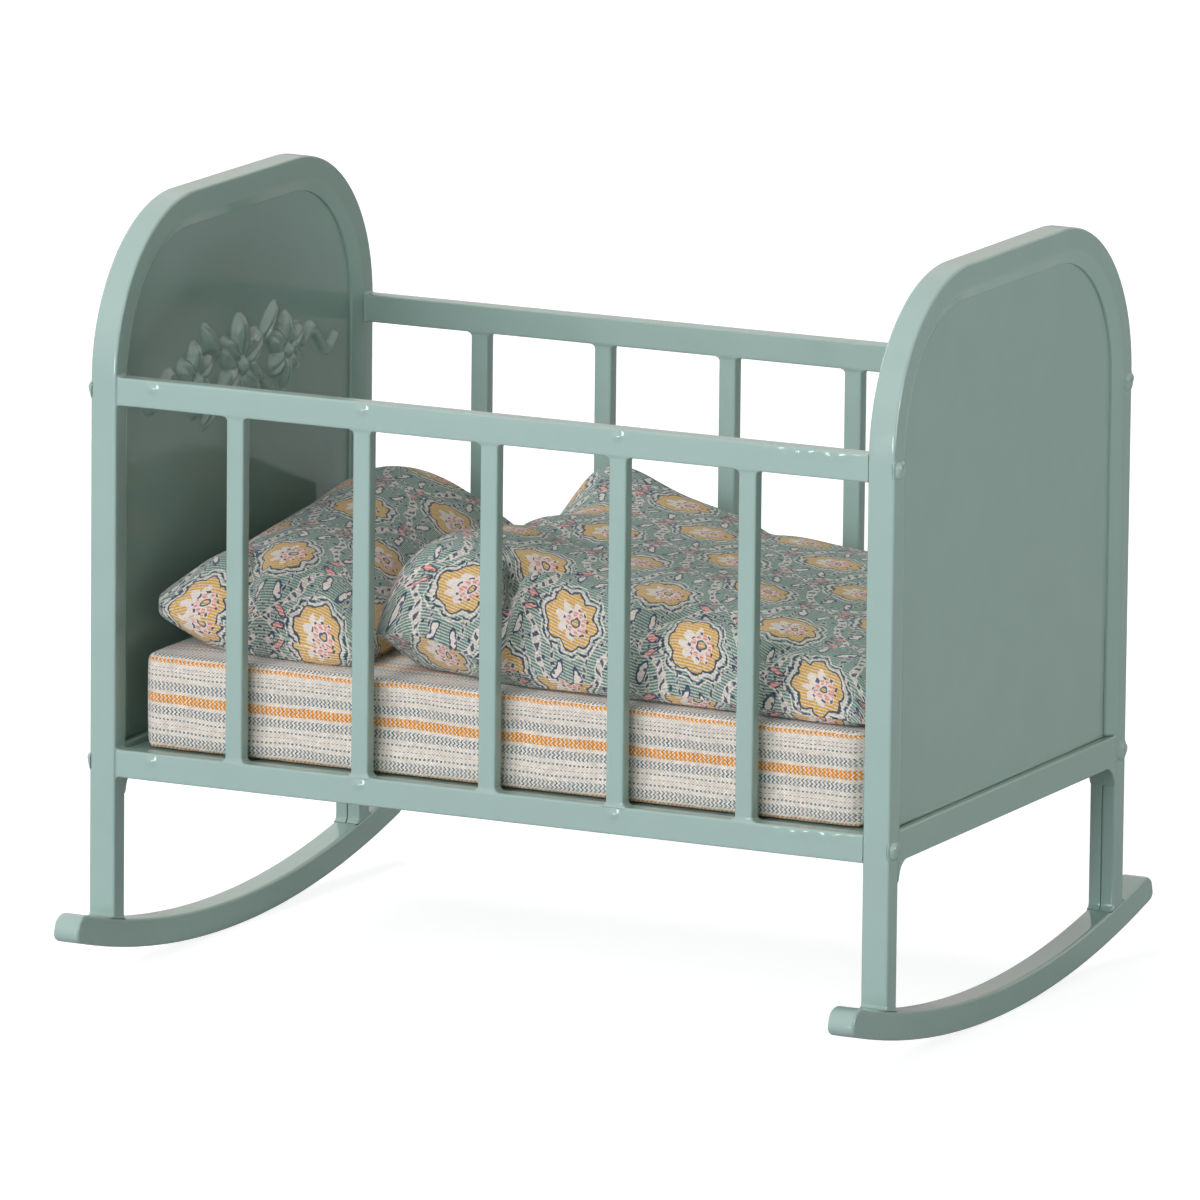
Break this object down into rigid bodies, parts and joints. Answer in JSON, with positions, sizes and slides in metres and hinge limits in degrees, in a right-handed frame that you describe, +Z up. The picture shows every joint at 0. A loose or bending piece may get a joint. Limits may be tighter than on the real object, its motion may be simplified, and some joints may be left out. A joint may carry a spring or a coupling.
{
  "type": "doll cradle",
  "caption": "Small enamelled metal doll cradle with arched ends, railed sides and curved rockers, made up with a striped mattress, a pillow and a printed duvet.",
  "frame": {"origin": "on the floor, under the middle of the cradle", "axes": "+X along the cradle towards the foot end, +Y across it towards the rear side, +Z up"},
  "size_m": [0.1314, 0.1046, 0.114],
  "materials": {
    "enamel": "glossy mint-green stoved enamel",
    "ticking": "woven cotton with fine cream, grey-blue and orange stripes",
    "twill": "sage twill printed with a small lattice and flower pattern"
  },
  "bodies": {
    "cradle": {"headboard_frame": "enamel", "headboard_panel": "enamel", "headboard_crossbar": "enamel", "headboard_rocker": "enamel", "footboard_frame": "enamel", "footboard_panel": "enamel", "footboard_crossbar": "enamel", "footboard_rocker": "enamel", "front_top_rail": "enamel", "front_bottom_rail": "enamel", "front_bar_1": "enamel", "front_bar_2": "enamel", "front_bar_3": "enamel", "front_bar_4": "enamel", "front_bar_5": "enamel", "rear_top_rail": "enamel", "rear_bottom_rail": "enamel", "rear_bar_1": "enamel", "rear_bar_2": "enamel", "rear_bar_3": "enamel", "rear_bar_4": "enamel", "rear_bar_5": "enamel", "bed_base": "enamel"},
    "loose_mattress": {"mattress": "ticking"},
    "loose_pillow": {"pillow": "twill"},
    "loose_duvet": {"duvet": "twill"}
  },
  "joints": [
    {"name": "mattress_lift", "type": "slide", "parent": "cradle", "child": "loose_mattress", "axis": [0, 0, 1], "range_m": [0, 0.085]},
    {"name": "pillow_lift", "type": "slide", "parent": "loose_mattress", "child": "loose_pillow", "axis": [0, 0, 1], "range_m": [0, 0.07]},
    {"name": "duvet_lift", "type": "slide", "parent": "loose_mattress", "child": "loose_duvet", "axis": [0, 0, 1], "range_m": [0, 0.07]}
  ]
}
